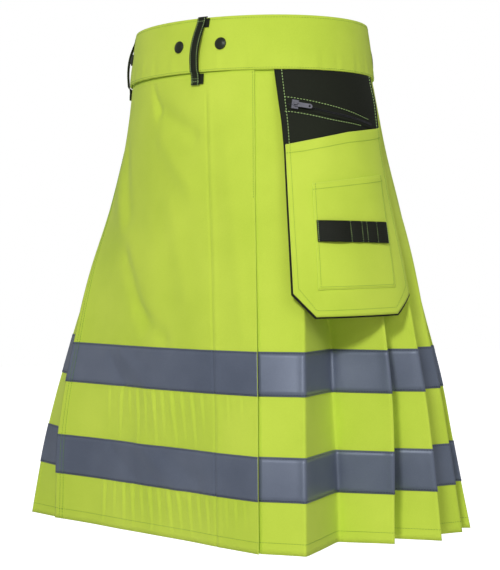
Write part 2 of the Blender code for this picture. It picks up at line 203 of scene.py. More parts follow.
def flare(z, out):
    """The flare at a height, with the corners of its table rounded off."""
    reach = (-16.0, -8.0, 0.0, 8.0, 16.0)
    if z > -40 or z < -560:
        return read(FLARE, z, out)
    return sum(read(FLARE, z + step, out) for step in reach) / len(reach)


def unit(v):
    v = np.asarray(v, float)
    return v / max(float(np.linalg.norm(v)), 1e-9)


def ease(value, low, high):
    t = min(max((value - low) / (high - low), 0.0), 1.0)
    return t * t * (3 - 2 * t)


def oval(angle, a, b):
    t = math.radians(angle)
    return np.array((a * math.sin(t), -b * math.cos(t)))


def outward(angle, z):
    g = flare(z, 1)
    p = oval(angle, 1 / (WAIST_A + g * (HULL_A - WAIST_A)), 1 / (WAIST_B + g * (HULL_B - WAIST_B)))
    return unit(p)


def drift(p):
    """Slow waver of every layer of cloth at a place, away from the body's middle, in millimetres."""
    turn = math.atan2(p[0] / WAIST_A, -p[1] / WAIST_B)
    z = p[2]
    size = ease(-z, 60, 220) * (1 - 0.4 * ease(-z, 380, 576))
    wave = 0.9 * math.sin(5 * turn + z / 61 + 0.4) + 0.7 * math.sin(9 * turn - z / 43 + 2.1)
    wave += 0.55 * math.sin(14 * turn + z / 97 + 4.0) + 0.5 * math.sin(3 * turn - z / 31 + 1.0)
    return size * wave


def wavered(p, out=0.0):
    """A point moved out from the body by the slow waver and a distance of its own."""
    away = unit((p[0] / WAIST_A**2, p[1] / WAIST_B**2))
    reach = drift(p) + out
    return np.array((p[0] + away[0] * reach, p[1] + away[1] * reach, p[2]))


def ring(angle, z, out=0.0):
    g = flare(z, 1)
    p = oval(angle, WAIST_A + g * (HULL_A - WAIST_A), WAIST_B + g * (HULL_B - WAIST_B))
    p = p + outward(angle, z) * out
    return np.array((p[0], p[1], z))


def front(share, z, out=0.0):
    """Point on the front apron, share 0 at its free edge and 1 at its stitched edge."""
    angle = APRON_ANGLES[0] + share * (APRON_ANGLES[1] - APRON_ANGLES[0])
    top = oval(angle, WAIST_A, WAIST_B)
    low = np.array((hem_curve(share, 1), hem_curve(share, 2)))
    g = (1 - share) * flare(z, 2) + share * flare(z, 1)
    normal = (1 - g) * unit(oval(angle, 1 / WAIST_A, 1 / WAIST_B)) + g * np.array((0.05, -1.0))
    p = top + g * (low - top) + unit(normal) * out
    return np.array((p[0], p[1], z))


def hem_curve(share, out):
    """The apron's hem line with its table's corners rounded off between the two ends."""
    if share < 0.06 or share > 0.94:
        return read(APRON_HEM, share, out)
    return sum(read(APRON_HEM, share + step, out) for step in (-0.05, -0.025, 0.0, 0.025, 0.05)) / 5


def apron_relief(share, z):
    """Height of the apron's own folds, puckers and sewn edges, in millimetres."""
    x = share * APRON_WIDE
    total = 0.0
    for x1, z1, x2, z2, depth, width in APRON_FOLDS:
        dx, dz = x2 - x1, z2 - z1
        t = ((x - x1) * dx + (z - z1) * dz) / (dx * dx + dz * dz)
        off = math.hypot(x - x1 - min(max(t, 0), 1) * dx, z - z1 - min(max(t, 0), 1) * dz)
        total += depth * math.exp(-((off / width) ** 2))
    for at, top, length, lean, depth in PUCKERS:
        along = (top - z) / length
        if -0.02 < along < 1.2:
            off = (x - at - lean * along) / 2.6
            fall = min(along * 9 + 0.2, 1.0) * max(1 - along / 1.2, 0.0)
            total += depth * fall * (0.75 * math.exp(-(off * off)) - 0.65 * math.exp(-((off - 1.7) ** 2)))
    calm = 2.1 * ease(share, 0.0, 0.06) * (1 - 0.75 * ease(share, 0.93, 1.0))
    facing = 0.45 if x < 15 else 0.0
    hem = 0.35 if z < HEM + 12 else 0.0
    return total * calm * ease(-z, 33, 60) + facing + hem


def apron_at(share, z, out=0.0):
    return wavered(front(share, z, -0.3 + out + apron_relief(share, z)))


def under_gap(z):
    return 1.9 + 1.8 * ease(-z, 200, 340)


def under_at(share, z, out=0.0):
    follow = min(apron_relief(share, z), 0.0)
    return wavered(front(share, z, -0.3 - under_gap(z) + follow + out))


def pleat_row(side, z):
    """Plan path of one pleated panel at a height, from the front to the centre back."""
    table = LEFT_FOLDS if side > 0 else RIGHT_FOLDS
    g = flare(z, 1)
    opened = ease(-z, 165, 350)
    size = 0.78 + 0.22 * ease(-z, 350, 576)
    pitch = 1.6 + 1.4 * ease(-z, 200, 340)
    inner = 1.6 + 2.9 * ease(-z, 200, 340)
    deep = under_gap(z)
    flip = np.array((side, 1.0))
    shares = (LEFT_START, 1.0) if side > 0 else (RIGHT_START, 0.0)
    starts = [front(share, z, -0.3 - deep)[:2] * flip for share in shares]
    start_low = front(shares[1], HEM)[:2] * flip
    marks = [table[0][0] - 12] + [row[0] for row in table] + [180.0]
    low_x = [start_low[0]] + [row[1] for row in table] + [0.0]
    low_y = [start_low[1]] + [row[2] for row in table] + [CENTRE_BACK_Y]

    def closed(angle, depth):
        top = oval(angle, WAIST_A, WAIST_B)
        low = np.array((np.interp(angle, marks, low_x), np.interp(angle, marks, low_y)))
        return top + g * (low - top) - outward(angle, z) * (deep + depth)

    def fold(row):
        top = oval(row[0], WAIST_A, WAIST_B)
        run = g + row[5] * 4 * g * (1 - g) * ease(-z, 150, 330)
        p = top + run * (np.array(row[1:3]) - top) - outward(row[0], z) * deep
        reach = np.array(row[3:5]) - np.array(row[1:3])
        shut = closed(row[0] - FOLD_TURN, pitch + inner / 2)
        free = p + size * reach
        return p - outward(row[0], z) * pitch / 2, shut + opened * (free - shut), free

    folds = [fold(row) for row in table]
    path = [(starts[0], 0.0), (starts[1], 0.0)]

    def add(angle, depth, free, gap=0.0):
        shut = closed(angle, depth)
        path.append((shut + opened * (free - shut), gap))

    before = starts[1]
    for i, row in enumerate(table):
        edge, valley, free = folds[i]
        if i:
            add(table[i - 1][0] - FOLD_TURN / 2, pitch + inner, before + 0.12 * (edge - before))
            add(table[i - 1][0] + 2.0, pitch + inner, before + 0.3 * (edge - before))
        add(row[0] - FOLD_TURN - 2.5, 0.0, before + 0.7 * (edge - before))
        add(row[0] - FOLD_TURN / 2, 0.0, before + 0.86 * (edge - before))
        path.append((edge, pitch))
        add(row[0] - FOLD_TURN / 2, pitch, (edge + free) / 2)
        path.append((valley, inner))
        before = free
    end = np.array((0.3, closed(180.0, pitch + inner)[1] - 22 * opened * g))
    add(table[-1][0] - FOLD_TURN / 2, pitch + inner, before + 0.15 * (end - before))
    add(table[-1][0] + 2.0, pitch + inner, before + 0.4 * (end - before))
    path.append((end, 0.0))
    first = path[2][0]
    path[2:2] = [(starts[1] + k * (first - starts[1]), 0.0) for k in (0.12, 0.4)]
    points = []
    for i, (p, gap) in enumerate(path):
        if not gap:
            points.append(p)
            continue
        ahead = unit(p - path[i - 1][0]) + unit(path[i + 1][0] - p)
        inward = -unit(np.array((p[0] / WAIST_A**2, p[1] / WAIST_B**2)))
        across = unit(ahead + 0.25 * inward)
        points.append(p - across * gap / 2)
        points.append(p + across * gap / 2)
    return [np.array((side * p[0], p[1], z)) for p in points]


def rounded(row, radius):
    """Cuts each corner of a plan path by at most the radius, two points for each corner."""
    result = [row[0]]
    for before, p, after in zip(row, row[1:], row[2:]):
        for other in (before, after):
            gap = other - p
            size = float(np.linalg.norm(gap))
            result.append(p + gap * min(0.28, radius / max(size, 1e-6)))
    result.append(row[-1])
    return result


def spread_counts(rows, step):
    """How many parts each stretch of a path is cut into, the same at every height."""
    longest = np.max([[np.linalg.norm(b - a) for a, b in zip(row, row[1:])] for row in rows], axis=0)
    return [max(1, int(math.ceil(length / step))) for length in longest]


def spread(row, counts):
    result = [row[0]]
    for (a, b), count in zip(zip(row, row[1:]), counts):
        result += [a + (b - a) * (k + 1) / count for k in range(count)]
    return result


def pleat_rows(side, heights):
    rough = [rounded(rounded(pleat_row(side, z), 5.0), 1.6) for z in heights]
    counts = spread_counts(rough, 9.0)
    return [[wavered(p) for p in spread(row, counts)] for row in rough]


def moved(row, out):
    """A row of points moved sideways in plan with mitred corners, to the right of its direction."""
    pts = np.asarray(row, float)
    steps = pts[1:, :2] - pts[:-1, :2]
    sides = np.stack((steps[:, 1], -steps[:, 0]), axis=1)
    sides /= np.maximum(np.linalg.norm(sides, axis=1, keepdims=True), 1e-9)
    before = np.vstack((sides[:1], sides))
    after = np.vstack((sides, sides[-1:]))
    mitre = before + after
    mitre /= np.maximum(np.linalg.norm(mitre, axis=1, keepdims=True), 1e-9)
    reach = out / np.maximum((mitre * before).sum(axis=1), 0.35)
    result = pts.copy()
    result[:, :2] += mitre * reach[:, None]
    return result


def levels(tapes_raised, start=CLOTH_TOP, step=6.0):
    """Heights down a panel that take in both edges of each tape, and where the tapes' rows lie."""
    marks = [start] + [z + tapes_raised for tape in TAPES for z in tape[1:]] + [HEM]
    heights = [start]
    at = [0]
    for a, b in zip(marks, marks[1:]):
        count = max(2, int(round((a - b) / step)))
        heights += [a + (b - a) * (k + 1) / count for k in range(count)]
        at.append(len(heights) - 1)
    return heights, ((at[1], at[2]), (at[3], at[4]))


def add_mesh(name, points, faces, material, uv=None, smooth=True):
    """A closed mesh with its faces outwards, in millimetres, with its finish and cloth coordinates."""
    points = np.asarray(points, float)
    centre = points.mean(axis=0)
    volume = 0.0
    for f in faces:
        for k in range(1, len(f) - 1):
            a, b, c = points[f[0]] - centre, points[f[k]] - centre, points[f[k + 1]] - centre
            cross = (b[1] * c[2] - b[2] * c[1], b[2] * c[0] - b[0] * c[2], b[0] * c[1] - b[1] * c[0])
            volume += float(np.dot(a, cross))
    if volume < 0:
        faces = [tuple(f[::-1]) for f in faces]
    mesh = bpy.data.meshes.new(name)
    mesh.from_pydata((points * MM).tolist(), [], [list(map(int, f)) for f in faces])
    mesh.update()
    if uv is not None:
        layer = mesh.uv_layers.new(name="cloth")
        loops = np.empty(len(mesh.loops), dtype=np.int64)
        mesh.loops.foreach_get("vertex_index", loops)
        layer.data.foreach_set("uv", (np.asarray(uv, float)[loops] * MM).ravel())
    mesh.polygons.foreach_set("use_smooth", [smooth] * len(mesh.polygons))
    mesh.materials.append(material)
    obj = bpy.data.objects.new(name, mesh)
    bpy.context.scene.collection.objects.link(obj)
    return obj


def shell(name, low_rows, high_rows, material):
    """A closed wall of cloth between two grids of points, with arc lengths as its cloth coordinates."""
    low, high = np.asarray(low_rows, float), np.asarray(high_rows, float)
    tall, wide = low.shape[:2]
    run = np.zeros((tall, wide))
    run[:, 1:] = np.cumsum(np.linalg.norm(np.diff(high, axis=1), axis=2), axis=1)
    fall = np.zeros((tall, wide))
    fall[1:] = np.cumsum(np.linalg.norm(np.diff(high, axis=0), axis=2), axis=0)
    uv = np.stack((run, -fall), axis=2).reshape(-1, 2)
    points = np.concatenate((low.reshape(-1, 3), high.reshape(-1, 3)))
    back = tall * wide
    faces = []
    for r in range(tall - 1):
        for c in range(wide - 1):
            quad = (r * wide + c, r * wide + c + 1, (r + 1) * wide + c + 1, (r + 1) * wide + c)
            faces.append(tuple(k + back for k in quad))
            faces.append(quad[::-1])
    border = [(0, c) for c in range(wide)]
    border += [(r, wide - 1) for r in range(1, tall)]
    border += [(tall - 1, c) for c in range(wide - 2, -1, -1)]
    border += [(r, 0) for r in range(tall - 2, 0, -1)]
    for (r, c), (s, d) in zip(border, border[1:] + border[:1]):
        a, b = r * wide + c, s * wide + d
        faces.append((b + back, a + back, a, b))
    return add_mesh(name, points, faces, material, np.concatenate((uv, uv)))


def grid_shell(name, place, us, vs, low, high, material):
    """A wall from a function of two coordinates and a distance out."""
    inner = [[place(u, v, low) for u in us] for v in vs]
    outer = [[place(u, v, high) for u in us] for v in vs]
    return shell(name, inner, outer, material)


def new_group(name, inputs, outputs):
    group = bpy.data.node_groups.new(name, "ShaderNodeTree")
    for label, kind, value in inputs:
        socket = group.interface.new_socket(name=label, in_out="INPUT", socket_type=kind)
        socket.default_value = value
    for label, kind in outputs:
        group.interface.new_socket(name=label, in_out="OUTPUT", socket_type=kind)
    return group, group.nodes.new("NodeGroupInput"), group.nodes.new("NodeGroupOutput")


def put(tree, kind, **values):
    """A node with properties by name, and inputs by name where the key starts with a capital."""
    node = tree.nodes.new(kind)
    for key, value in values.items():
        if key[0].isupper():
            node.inputs[key.replace("_", " ")].default_value = value
        else:
            setattr(node, key, value)
    return node


def maths(tree, operation, first, second=0.0):
    node = put(tree, "ShaderNodeMath", operation=operation)
    for socket, value in zip(node.inputs, (first, second)):
        if hasattr(value, "is_output"):
            tree.links.new(value, socket)
        else:
            socket.default_value = value
    return node.outputs[0]


FLOAT, COLOUR, VECTOR = "NodeSocketFloat", "NodeSocketColor", "NodeSocketVector"


def weave_group():
    """Crossing threads: their height and the gaps between them, which the tone darkens as painted shade, from
    cloth coordinates.
    """
    inputs = (
        ("Place", VECTOR, (0, 0, 0)),
        ("Threads", FLOAT, 1500.0),
        ("Slant", FLOAT, 0.0),
        ("Loose", FLOAT, 0.3),
    )
    group, start, end = new_group("woven_threads", inputs, (("Height", FLOAT), ("Gap", FLOAT)))
    parts = put(group, "ShaderNodeSeparateXYZ")
    group.links.new(start.outputs["Place"], parts.inputs[0])
    noise = put(group, "ShaderNodeTexNoise", Scale=900.0, Detail=2.0)
    group.links.new(start.outputs["Place"], noise.inputs["Vector"])
    shift = maths(group, "MULTIPLY", noise.outputs[0], start.outputs["Loose"])
    waves = []
    for own, other in ((0, 1), (1, 0)):
        lean = maths(group, "MULTIPLY", parts.outputs[other], start.outputs["Slant"])
        place = maths(group, "ADD", parts.outputs[own], lean)
        scaled = maths(group, "MULTIPLY", place, start.outputs["Threads"])
        shifted = maths(group, "ADD", scaled, maths(group, "MULTIPLY", shift, 6.28))
        waves.append(maths(group, "ABSOLUTE", maths(group, "SINE", shifted)))
    height = maths(group, "MAXIMUM", waves[0], waves[1])
    group.links.new(height, end.inputs["Height"])
    group.links.new(maths(group, "SUBTRACT", 1.0, height), end.inputs["Gap"])
    return group


def tone_group():
    """A colour that varies softly over a piece: broad drift, fine mottle and painted shade in the gaps
    between threads.
    """
    inputs = (
        ("Place", VECTOR, (0, 0, 0)),
        ("Light", COLOUR, (1, 1, 1, 1)),
        ("Dark", COLOUR, (0.5, 0.5, 0.5, 1)),
        ("Broad", FLOAT, 9.0),
        ("Fine", FLOAT, 700.0),
        ("Mottle", FLOAT, 0.35),
        ("Gap", FLOAT, 0.0),
        ("Gap Painted Shade", FLOAT, 0.2),
    )
    group, start, end = new_group("cloth_tone", inputs, (("Colour", COLOUR), ("Amount", FLOAT)))
    broad = put(group, "ShaderNodeTexNoise", Detail=3.0, Roughness=0.5)
    fine = put(group, "ShaderNodeTexNoise", Detail=2.0, Roughness=0.6)
    for node, scale in ((broad, "Broad"), (fine, "Fine")):
        group.links.new(start.outputs["Place"], node.inputs["Vector"])
        group.links.new(start.outputs[scale], node.inputs["Scale"])
    wide = put(group, "ShaderNodeMapRange")
    group.links.new(broad.outputs[0], wide.inputs[0])
    wide.inputs[1].default_value = 0.3
    wide.inputs[2].default_value = 0.7
    grain = maths(group, "MULTIPLY", maths(group, "SUBTRACT", fine.outputs[0], 0.5), start.outputs["Mottle"])
    # Painted shade: the colour darkens where the threads part.
    gaps = maths(group, "MULTIPLY", start.outputs["Gap"], start.outputs["Gap Painted Shade"])
    half = maths(group, "MULTIPLY", wide.outputs[0], 0.5)
    amount = maths(group, "ADD", maths(group, "ADD", half, grain), gaps)
    mix = put(group, "ShaderNodeMix", data_type="RGBA")
    group.links.new(amount, mix.inputs[0])
    group.links.new(start.outputs["Light"], mix.inputs[6])
    group.links.new(start.outputs["Dark"], mix.inputs[7])
    group.links.new(mix.outputs[2], end.inputs["Colour"])
    group.links.new(amount, end.inputs["Amount"])
    return group


def rough_group():
    """Roughness that changes with grain, handling and dust, and a matching small relief."""
    inputs = (
        ("Place", VECTOR, (0, 0, 0)),
        ("Base", FLOAT, 0.5),
        ("Range", FLOAT, 0.2),
        ("Grain", FLOAT, 400.0),
    )
    group, start, end = new_group("surface_grain", inputs, (("Roughness", FLOAT), ("Relief", FLOAT)))
    noise = put(group, "ShaderNodeTexNoise", Detail=4.0, Roughness=0.65)
    group.links.new(start.outputs["Place"], noise.inputs["Vector"])
    group.links.new(start.outputs["Grain"], noise.inputs["Scale"])
    centred = maths(group, "SUBTRACT", noise.outputs[0], 0.5)
    spread_by = maths(group, "MULTIPLY", centred, start.outputs["Range"])
    group.links.new(maths(group, "ADD", start.outputs["Base"], spread_by), end.inputs["Roughness"])
    group.links.new(noise.outputs[0], end.inputs["Relief"])
    return group


WEAVE, TONE, GRAIN = weave_group(), tone_group(), rough_group()


def material(name, light, dark, rough=0.8, threads=0.0, slant=0.0, bump=0.0002, metal=0.0, **more):
    """A finish with varied colour, grain in its roughness, and threads or grain in its relief."""
    mat = bpy.data.materials.new(name)
    mat.use_nodes = True
    mat.diffuse_color = (*light, 1)
    tree = mat.node_tree
    shader = tree.nodes["Principled BSDF"]
    shader.inputs["Metallic"].default_value = metal
    shader.inputs["Sheen Weight"].default_value = more.get("sheen", 0.0)
    shader.inputs["Sheen Roughness"].default_value = 0.5
    shader.inputs["Specular IOR Level"].default_value = more.get("shine", 0.3)
    place = put(tree, "ShaderNodeTexCoord")
    source = place.outputs["UV"] if threads else place.outputs["Object"]
    tone = put(tree, "ShaderNodeGroup", node_tree=TONE)
    grain = put(tree, "ShaderNodeGroup", node_tree=GRAIN)
    for node in (tone, grain):
        tree.links.new(place.outputs["Object"], node.inputs["Place"])
    tone.inputs["Light"].default_value = (*light, 1)
    tone.inputs["Dark"].default_value = (*dark, 1)
    tone.inputs["Broad"].default_value = more.get("broad", 9.0)
    tone.inputs["Fine"].default_value = more.get("fine", 900.0)
    tone.inputs["Mottle"].default_value = more.get("mottle", 0.5)
    # How dark the painted shade in the weave's gaps is.
    tone.inputs["Gap Painted Shade"].default_value = more.get("gap", 0.25)
    grain.inputs["Base"].default_value = rough
    grain.inputs["Range"].default_value = more.get("range", 0.15)
    grain.inputs["Grain"].default_value = more.get("grain", 400.0)
    tree.links.new(tone.outputs["Colour"], shader.inputs["Base Color"])
    tree.links.new(grain.outputs["Roughness"], shader.inputs["Roughness"])
    relief = put(tree, "ShaderNodeBump", Strength=more.get("strength", 0.6), Distance=bump)
    if threads:
        weave = put(tree, "ShaderNodeGroup", node_tree=WEAVE)
        tree.links.new(source, weave.inputs["Place"])
        weave.inputs["Threads"].default_value = threads
        weave.inputs["Slant"].default_value = slant
        tree.links.new(weave.outputs["Gap"], tone.inputs["Gap"])
        height = maths(tree, "ADD", weave.outputs["Height"], grain.outputs["Relief"])
        tree.links.new(height, relief.inputs["Height"])
    else:
        tree.links.new(grain.outputs["Relief"], relief.inputs["Height"])
    tree.links.new(relief.outputs["Normal"], shader.inputs["Normal"])
    return mat


HIVIS = material(
    "hi_vis_cloth", (0.70, 0.875, 0.090), (0.50, 0.69, 0.045),
    0.82, 4200.0, 0.5, 0.00018, sheen=0.08,
)
# A lighter copy of the hi-vis cloth, a painted highlight where light catches folded edges.
PAINTED_EDGE_HIGHLIGHT = material("hi_vis_fold_painted_highlight", (0.76, 0.93, 0.14), (0.66, 0.85, 0.09), 0.8, 4200.0, 0.5, 0.00012)
TAPE = material(
    "reflective_tape", (0.165, 0.195, 0.265), (0.085, 0.108, 0.165),
    0.42, 5200.0, 0.0, 0.00006, 0.25, broad=14.0, shine=0.5,
)
CANVAS = material(
    "black_canvas", (0.0125, 0.0165, 0.0065), (0.004, 0.005, 0.002),
    0.75, 3000.0, 0.0, 0.0003, gap=0.6,
)
WEBBING = material(
    "loop_webbing", (0.014, 0.019, 0.007), (0.004, 0.005, 0.002),
    0.7, 2200.0, 0.7, 0.0003, gap=0.7,
)
ELASTIC = material(
    "black_elastic", (0.013, 0.016, 0.008), (0.004, 0.005, 0.003),
    0.65, 3600.0, 0.0, 0.0002, gap=0.5,
)
GREEN_THREAD = material(
    "green_thread", (0.20, 0.42, 0.05), (0.12, 0.28, 0.03),
    0.6, bump=0.0001, grain=2500.0,
)
PALE_THREAD = material(
    "pale_green_thread", (0.55, 0.80, 0.30), (0.38, 0.60, 0.18),
    0.6, bump=0.0001, grain=2500.0,
)
DARK_THREAD = material(
    "dark_thread", (0.035, 0.045, 0.075), (0.02, 0.025, 0.045),
    0.6, bump=0.0001, grain=2500.0,
)
COIL = material("zip_coil", (0.020, 0.020, 0.026), (0.008, 0.008, 0.012), 0.35, bump=0.00005, shine=0.5)
ZIP_METAL = material(
    "zip_metal", (0.26, 0.26, 0.30), (0.10, 0.10, 0.12),
    0.32, bump=0.00003, metal=0.95, grain=900.0,
)
SNAP_METAL = material(
    "snap_metal", (0.035, 0.042, 0.028), (0.014, 0.018, 0.010),
    0.38, bump=0.00004, metal=0.35, grain=700.0,
)


def geometry_tree(name, sizes):
    """A geometry tree with its mesh, its named sizes and its finish as inputs."""
    tree = bpy.data.node_groups.new(name, "GeometryNodeTree")
    tree.interface.new_socket(name="Line", in_out="INPUT", socket_type="NodeSocketGeometry")
    for label, value in sizes:
        socket = tree.interface.new_socket(name=label, in_out="INPUT", socket_type="NodeSocketFloat")
        socket.default_value = value
    tree.interface.new_socket(name="Finish", in_out="INPUT", socket_type="NodeSocketMaterial")
    tree.interface.new_socket(name="Made", in_out="OUTPUT", socket_type="NodeSocketGeometry")
    return tree, tree.nodes.new("NodeGroupInput"), tree.nodes.new("NodeGroupOutput")


def beads_tree():
    """Sewn stitches or teeth: one small rounded bead at each step along the lines, turned along them."""
    sizes = (("Step", 0.0033), ("Length", 0.0026), ("Width", 0.0006), ("Turn", 0.0))
    tree, start, end = geometry_tree("beads_along_lines", sizes)
    curve = put(tree, "GeometryNodeMeshToCurve")
    tree.links.new(start.outputs["Line"], curve.inputs[0])
    steps = put(tree, "GeometryNodeResampleCurve")
    steps.mode = "LENGTH"
    tree.links.new(curve.outputs[0], steps.inputs["Curve"])
    tree.links.new(start.outputs["Step"], steps.inputs["Length"])
    tangent = put(tree, "GeometryNodeInputTangent")
    turned = put(tree, "FunctionNodeAlignRotationToVector")
    turned.axis = "Z"
    tree.links.new(tangent.outputs[0], turned.inputs["Vector"])
    bead = put(tree, "GeometryNodeMeshUVSphere", Segments=5, Rings=4, Radius=0.5)
    size = put(tree, "ShaderNodeCombineXYZ")
    for socket, label in zip(size.inputs, ("Width", "Width", "Length")):
        tree.links.new(start.outputs[label], socket)
    copies = put(tree, "GeometryNodeInstanceOnPoints")
    tree.links.new(steps.outputs[0], copies.inputs["Points"])
    tree.links.new(bead.outputs["Mesh"], copies.inputs["Instance"])
    tree.links.new(turned.outputs[0], copies.inputs["Rotation"])
    tree.links.new(size.outputs[0], copies.inputs["Scale"])
    leaned = put(tree, "GeometryNodeRotateInstances")
    tree.links.new(copies.outputs[0], leaned.inputs["Instances"])
    lean = put(tree, "ShaderNodeCombineXYZ")
    tree.links.new(start.outputs["Turn"], lean.inputs[0])
    tree.links.new(lean.outputs[0], leaned.inputs["Rotation"])
    real = put(tree, "GeometryNodeRealizeInstances")
    tree.links.new(leaned.outputs[0], real.inputs[0])
    finish = put(tree, "GeometryNodeSetMaterial")
    tree.links.new(real.outputs[0], finish.inputs["Geometry"])
    tree.links.new(start.outputs["Finish"], finish.inputs["Material"])
    tree.links.new(finish.outputs[0], end.inputs[0])
    return tree


BEADS = beads_tree()


def beads(name, lines, finish, step=3.3, length=2.6, width=0.6, turn=0.0):
    """Beads along lines of points in millimetres, as one plain mesh."""
    points, edges = [], []
    for line in lines:
        first = len(points)
        points += [tuple(float(v) * MM for v in p) for p in line]
        edges += [(first + k, first + k + 1) for k in range(len(line) - 1)]
    mesh = bpy.data.meshes.new(name + "_lines")
    mesh.from_pydata(points, edges, [])
    guide = bpy.data.objects.new(name + "_lines", mesh)
    bpy.context.scene.collection.objects.link(guide)
    step_by = guide.modifiers.new("beads", "NODES")
    step_by.node_group = BEADS
    named = {item.name: item.identifier for item in BEADS.interface.items_tree if item.in_out == "INPUT"}
    for label, value in (("Step", step), ("Length", length), ("Width", width)):
        step_by[named[label]] = value * MM
    step_by[named["Turn"]] = turn
    step_by[named["Finish"]] = finish
    graph = bpy.context.evaluated_depsgraph_get()
    made = bpy.data.meshes.new_from_object(guide.evaluated_get(graph))
    made.name = name
    if not made.materials:
        made.materials.append(finish)
    bpy.data.objects.remove(guide, do_unlink=True)
    obj = bpy.data.objects.new(name, made)
    bpy.context.scene.collection.objects.link(obj)
    made.polygons.foreach_set("use_smooth", [True] * len(made.polygons))
    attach(obj, "kilt")
    return obj


def settle(obj, slot, *nodes, body="kilt"):
    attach(obj, body)
    if nodes:
        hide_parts(*nodes)
    return obj


def aprons():
    heights, tape_rows = levels(0.0)
    shares = np.linspace(0.0, 1.0, 201)
    low = [[apron_at(s, z, -CLOTH_HALF) for s in shares] for z in heights]
    high = [[apron_at(s, z, CLOTH_HALF) for s in shares] for z in heights]
    apron = settle(shell("apron_cloth", low, high, HIVIS), "hi_vis_cloth", "outer_apron")
    for (tag, _, _), (a, b) in zip(TAPES, tape_rows):
        rows = heights[a : b + 1]
        inner = [[apron_at(s, z, 0.35) for s in shares] for z in rows]
        outer = [[apron_at(s, z, 0.85) for s in shares] for z in rows]
        band = settle(shell(f"apron_tape_{tag}", inner, outer, TAPE), "reflective_tape", f"tape_apron_{tag}")
    heights, _ = levels(0.0, step=12.0)
    across = np.linspace(RIGHT_START + 0.002, UNDER_END, 70)
    under = grid_shell("under_apron_cloth", under_at, across, heights, -CLOTH_HALF, CLOTH_HALF, HIVIS)
    settle(under, "hi_vis_cloth", "under_apron")


def pleats():
    for side, tag in ((1, "left"), (-1, "right")):
        heights, tape_rows = levels(RIGHT_RAISE if side < 0 else 0.0)
        rows = pleat_rows(side, heights)
        low = [moved(row, -CLOTH_HALF) for row in rows]
        high = [moved(row, CLOTH_HALF) for row in rows]
        panel = settle(shell(f"pleated_cloth_{tag}", low, high, HIVIS), "hi_vis_cloth", f"pleats_{tag}")
        near, far = (0.35, 0.85) if side > 0 else (-0.85, -0.35)
        for (tape, _, _), (a, b) in zip(TAPES, tape_rows):
            low = [moved(row, near) for row in rows[a : b + 1]]
            high = [moved(row, far) for row in rows[a : b + 1]]
            wall = shell(f"pleated_tape_{tag}_{tape}", low, high, TAPE)
            band = settle(wall, "reflective_tape", f"tape_{tag}_{tape}")
        sew_pleats(side, tag, heights, rows, tape_rows)


def sew_pleats(side, tag, heights, rows, tape_rows):
    hem = next(k for k, z in enumerate(heights) if z < HEM + 13)
    lines = [moved(rows[hem], side * (CLOTH_HALF + 0.1))]
    beads(f"hem_stitches_{tag}", lines, GREEN_THREAD, width=0.55)
    lines = []
    for top, bottom in tape_rows:
        for k, other in ((top, top + 1), (bottom, bottom - 1)):
            row = rows[k] + (np.asarray(rows[other]) - rows[k]) * 0.28
            lines.append(moved(row, side * 0.93))
    beads(f"tape_stitches_{tag}", lines, DARK_THREAD, width=0.5)


def sew_aprons():
    shares = np.linspace(0.004, 0.996, 150)
    lines = [[apron_at(s, HEM + 12.5, CLOTH_HALF + 0.12) for s in shares]]
    under = np.linspace(RIGHT_START + 0.004, UNDER_END - 0.002, 80)
    lines.append([under_at(s, HEM + 12, CLOTH_HALF + 0.1) for s in under])
    beads("hem_stitches_apron", lines, GREEN_THREAD, width=0.6)
    lines = []
    for _, top, bottom in TAPES:
        for z in (top - 1.6, bottom + 1.6):
            lines.append([apron_at(s, z, 0.93) for s in shares])
    beads("tape_stitches_apron", lines, DARK_THREAD, width=0.5)
    lines = []
    taped = [(top + 1.0, bottom - 1.0) for _, top, bottom in TAPES]
    for across in (8.0, 13.5):
        share = across / APRON_WIDE
        line = []
        for z in np.linspace(CLOTH_TOP - 3, HEM + 2, 220):
            on_tape = any(bottom < z < top for top, bottom in taped)
            line.append(apron_at(share, z, 0.98 if on_tape else CLOTH_HALF + 0.1))
        lines.append(line)
    beads("free_edge_stitches", lines, GREEN_THREAD, width=0.6)
    share = 1 - 2.4 / APRON_WIDE
    line = [apron_at(share, z, CLOTH_HALF + 0.12) for z in np.linspace(CLOTH_TOP - 3, -180, 60)]
    # Beads of the lighter copy along the apron's folded edge: a painted highlight.
    edge = [apron_at(0.9995, z, 0.1) for z in np.linspace(CLOTH_TOP - 1, HEM + 0.5, 240)]
    beads("apron_fold_painted_highlight", [edge], PAINTED_EDGE_HIGHLIGHT, step=2.0, length=3.2, width=0.9)
    beads("closing_stitches", [line], GREEN_THREAD, step=3.0, length=2.2, width=0.6)


def band_at(angle, z, out=0.0):
    share = (BAND_TOP - z) / (BAND_TOP - BAND_LOW)
    puff = 0.55 * math.sin(math.pi * min(max(share, 0.0), 1.0)) ** 0.6
    low = ease(share, 0.45, 0.95)
    waves = math.sin(angle * 0.83) + 0.6 * math.sin(angle * 1.37 + 1)
    creases = 0.3 * low * waves * (1 - ease(share, 0.93, 1.0))
    tuck = -3.1 * ease(angle, *BAND_TUCK)
    sunk = 0.0
    for _, at in SNAP_ANGLES:
        gap = math.hypot((angle - at) * 2.75, z)
        if gap < 13:
            sunk -= 0.45 * math.exp(-((gap / 8.0) ** 2))
    return ring(angle, z, tuck + out + (puff + creases + sunk if out > 0 else 0.0))


def waistband():
    angles = np.linspace(BAND_START, BAND_END, 380)
    falls = (0, 0.012, 0.04, 0.1, 0.18, 0.28, 0.4, 0.5, 0.6, 0.7, 0.8, 0.88, 0.94, 0.975, 1)
    heights = [BAND_TOP - 64 * t for t in falls]
    band = grid_shell("waistband_cloth", band_at, angles, heights, -1.1, 1.0, HIVIS)
    settle(band, "hi_vis_cloth", "waistband")
    angles = np.linspace(BAND_START + 1, BAND_END - 1, 500)
    lines = [[band_at(a, z, 1.02) for a in angles] for z in (BAND_LOW + 2.2, BAND_TOP - 3.0)]
    beads("waistband_stitches", lines, GREEN_THREAD, width=0.5)


